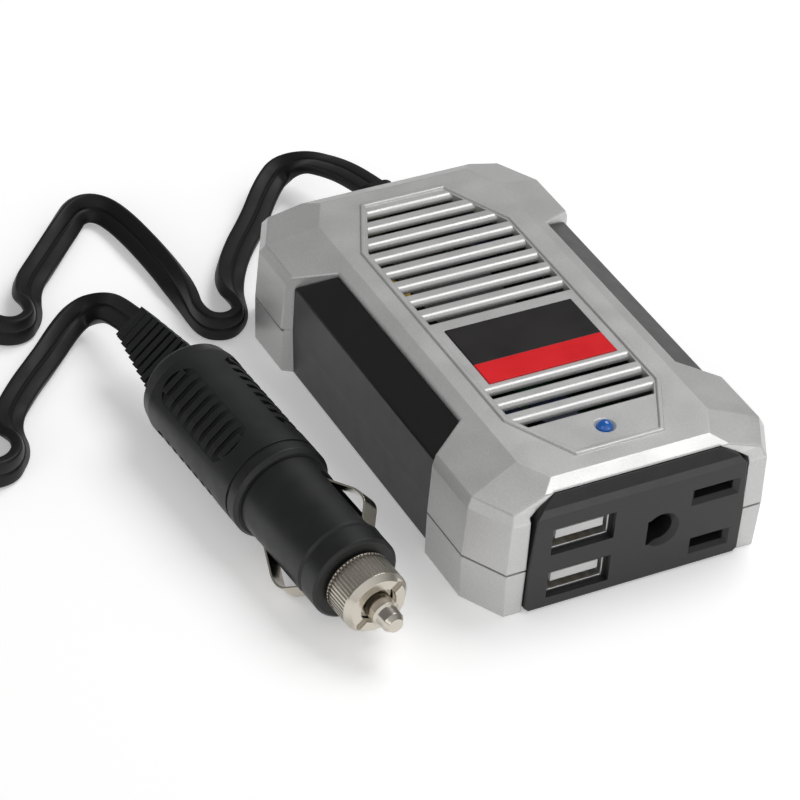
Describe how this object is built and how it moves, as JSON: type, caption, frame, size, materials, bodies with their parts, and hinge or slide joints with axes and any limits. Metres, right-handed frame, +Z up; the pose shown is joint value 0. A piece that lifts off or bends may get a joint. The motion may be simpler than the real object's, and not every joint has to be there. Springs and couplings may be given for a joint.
{
  "type": "power inverter",
  "caption": "Pocket inverter with louvred top, mains outlet, charging ports and a flat cord to a 12 V accessory plug.",
  "frame": {"origin": "under the middle of the case, on the surface that it stands on", "axes": "+X right seen from the outlet end, +Y from the outlet end to the cord end, +Z up"},
  "size_m": [0.2248, 0.168, 0.0293],
  "materials": {
    "silver": "silver-grey moulded plastic, fine satin",
    "grip_rubber": "soft matt grip",
    "panel_black": "matt black plastic",
    "contact_brass": "sprung brass",
    "plated_steel": "bright plated steel",
    "tongue_white": "white plastic",
    "board_green": "circuit board",
    "label_black": "printed label, black",
    "label_red": "printed label, red",
    "lamp_blue": "clear blue lens",
    "ferrite": "dark ferrite",
    "winding": "taped copper winding",
    "can_sleeve": "sleeved can",
    "chip_black": "moulded package",
    "sink_aluminium": "extruded aluminium",
    "glass_tube": "glass tube fuse",
    "screw_steel": "zinc-plated steel",
    "cord_black": "soft black cord jacket",
    "tie_black": "woven hook-and-loop strip",
    "plug_black": "matt black plastic",
    "nickel": "bright nickel plating"
  },
  "bodies": {
    "inverter": {"top_shell": "silver", "bottom_shell": "silver", "left_grip": "grip_rubber", "right_grip": "grip_rubber", "front_panel": "panel_black", "outlet_housing": "panel_black", "hot_contact": "contact_brass", "neutral_contact": "contact_brass", "ground_contact": "contact_brass", "usb_shells": "plated_steel", "usb_tongues": "tongue_white", "usb_contacts": "contact_brass", "usb_board": "board_green", "label_plate": "label_black", "label_band": "label_red", "power_lamp": "lamp_blue", "main_board": "board_green", "transformer_core": "ferrite", "transformer_winding": "winding", "capacitors": "can_sleeve", "power_transistors": "chip_black", "heat_sinks": "sink_aluminium", "filter_coil": "winding", "board_fuse": "glass_tube", "board_screws": "screw_steel", "case_screws": "screw_steel", "cord_gland": "cord_black", "power_cord": "cord_black", "plug_cord": "cord_black", "cord_coil": "cord_black", "cord_tie": "tie_black", "plug_handle": "plug_black", "plug_barrel": "plug_black", "tip_spring": "screw_steel", "spring_seat": "contact_brass", "plug_boot": "plug_black"},
    "cap": {"plug_end_cap": "nickel"},
    "tip": {"centre_tip": "nickel", "plug_fuse": "glass_tube"},
    "upper_spring": {"upper_contact": "nickel"},
    "lower_spring": {"lower_contact": "nickel"}
  },
  "joints": [
    {"name": "tip_press", "type": "slide", "parent": "inverter", "child": "tip", "axis": [-0.0715, 0.9972, 0.0209], "range_m": [0, 0.0025], "stiffness_N_per_m": 900, "springref_m": -0.002},
    {"name": "upper_contact_press", "type": "slide", "parent": "inverter", "child": "upper_spring", "axis": [-0.7422, -0.0392, -0.669], "range_m": [0, 0.0025], "stiffness_N_per_m": 1500, "springref_m": -0.001},
    {"name": "lower_contact_press", "type": "slide", "parent": "inverter", "child": "lower_spring", "axis": [0.7422, 0.0392, 0.669], "range_m": [0, 0.0025], "stiffness_N_per_m": 1500, "springref_m": -0.001},
    {"name": "cap_unscrew", "type": "hinge", "parent": "inverter", "child": "cap", "pos_m": [-0.05629, -0.05333, 0.01027], "axis": [0.0715, -0.9972, -0.0209], "range_deg": [0, 720]}
  ]
}
